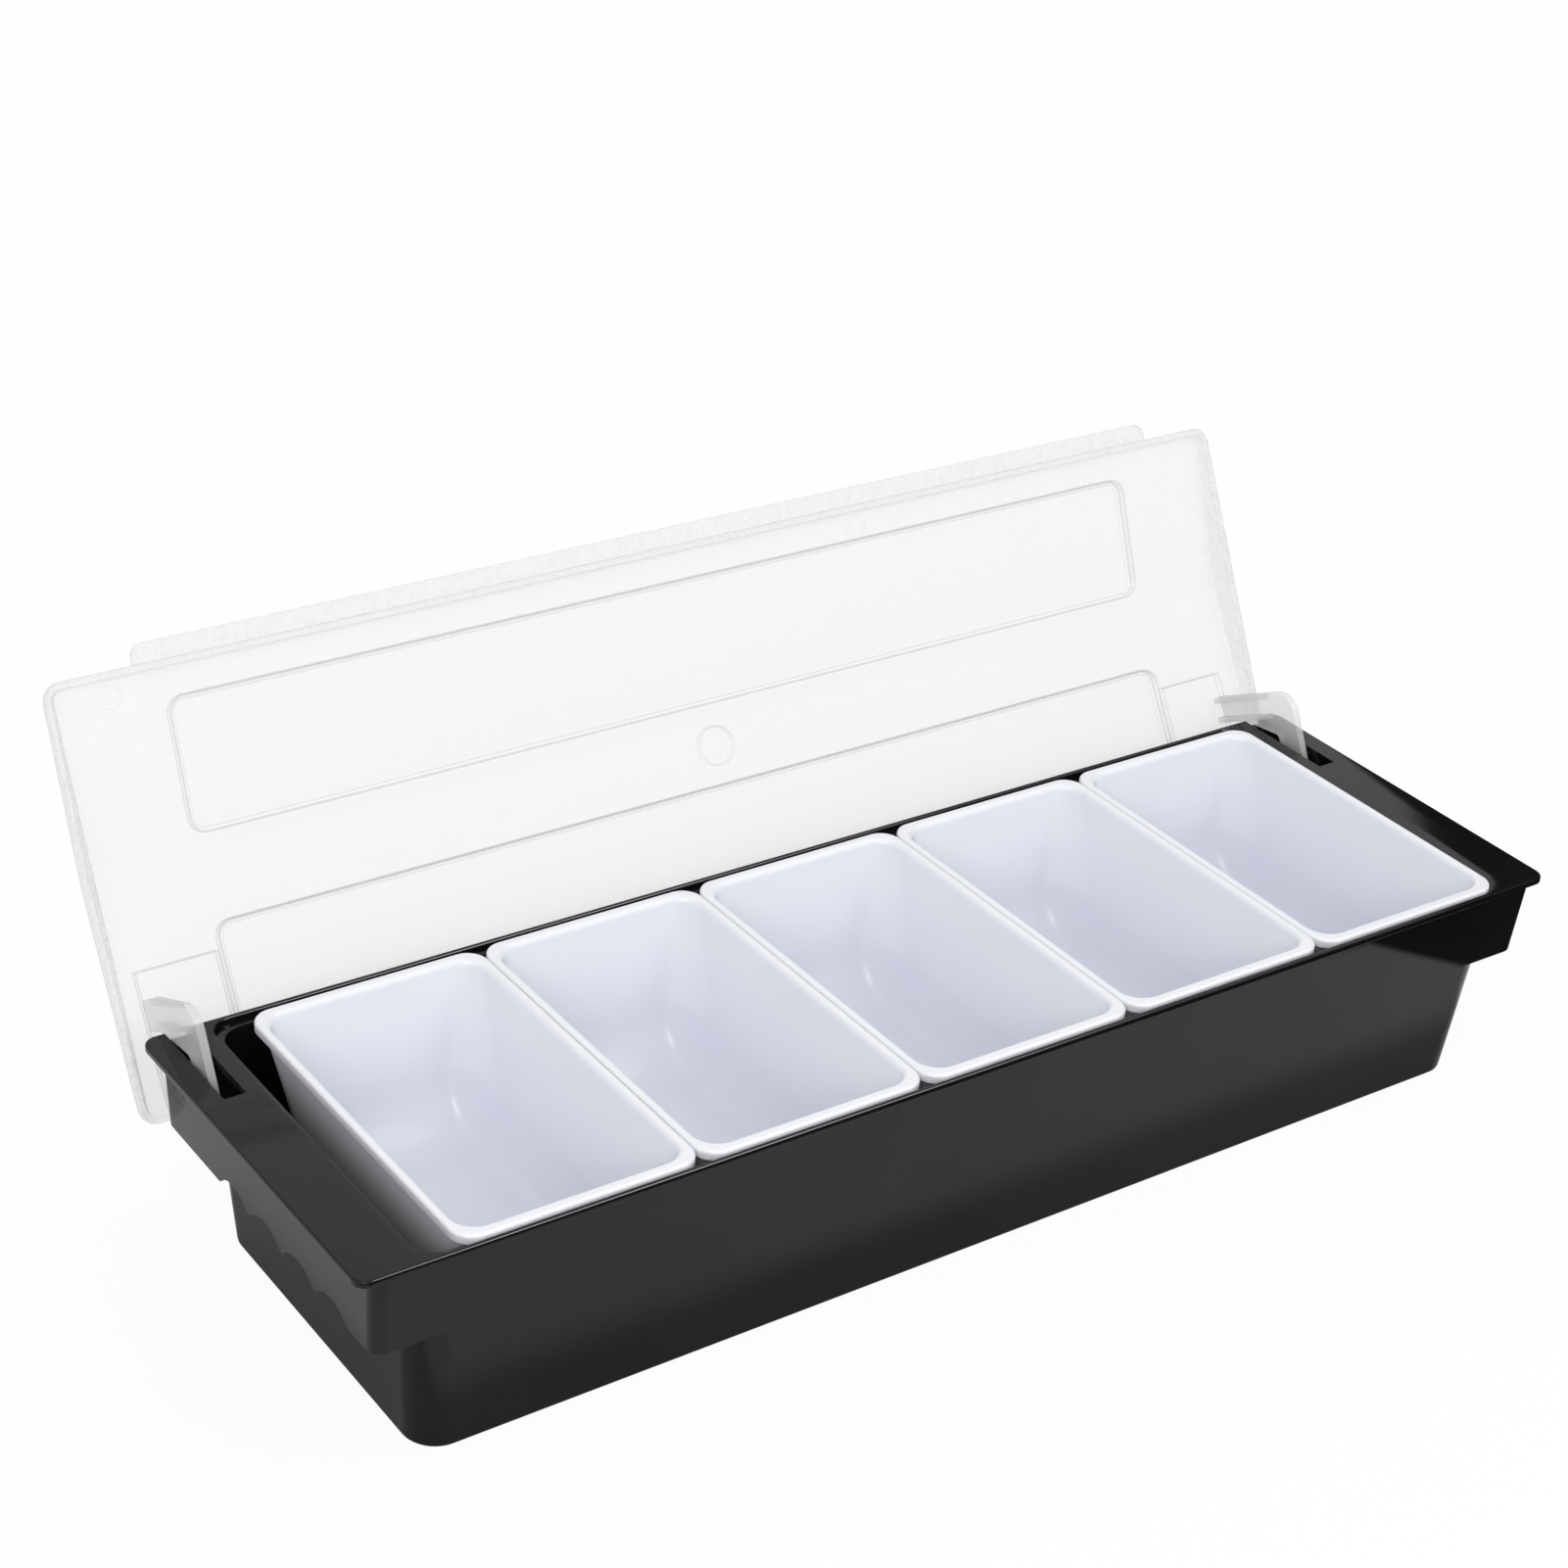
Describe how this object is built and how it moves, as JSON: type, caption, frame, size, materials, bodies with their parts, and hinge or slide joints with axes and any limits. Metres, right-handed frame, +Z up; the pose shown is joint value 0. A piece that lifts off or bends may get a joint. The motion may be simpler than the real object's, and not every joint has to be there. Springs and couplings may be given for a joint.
{
  "type": "condiment caddy",
  "caption": "Long condiment caddy: a glossy housing holds a row of lift-out inserts over an ice space, under one full-length translucent cover hinged at the back.",
  "frame": {"origin": "centre of the housing's base, on the surface it stands on", "axes": "+X along the row of inserts, +Y towards the hinge side, +Z up"},
  "size_m": [0.4982, 0.2181, 0.1867],
  "materials": {
    "housing": "glossy black moulded plastic",
    "insert": "smooth white moulded plastic, satin inside",
    "cover": "clear frosted moulded plastic"
  },
  "bodies": {
    "housing": {"housing": "housing"},
    "cover": {"cover": "cover"},
    "insert_1": {"insert_1": "insert"},
    "insert_2": {"insert_2": "insert"},
    "insert_3": {"insert_3": "insert"},
    "insert_4": {"insert_4": "insert"},
    "insert_5": {"insert_5": "insert"}
  },
  "joints": [
    {"name": "cover_hinge", "type": "hinge", "parent": "housing", "child": "cover", "pos_m": [0, 0.0616, 0.065], "axis": [-1, 0, 0], "range_deg": [-117, 0]},
    {"name": "insert_1_lift", "type": "slide", "parent": "housing", "child": "insert_1", "axis": [0, 0, 1], "range_m": [0, 0.11]},
    {"name": "insert_2_lift", "type": "slide", "parent": "housing", "child": "insert_2", "axis": [0, 0, 1], "range_m": [0, 0.11]},
    {"name": "insert_3_lift", "type": "slide", "parent": "housing", "child": "insert_3", "axis": [0, 0, 1], "range_m": [0, 0.11]},
    {"name": "insert_4_lift", "type": "slide", "parent": "housing", "child": "insert_4", "axis": [0, 0, 1], "range_m": [0, 0.11]},
    {"name": "insert_5_lift", "type": "slide", "parent": "housing", "child": "insert_5", "axis": [0, 0, 1], "range_m": [0, 0.11]}
  ]
}
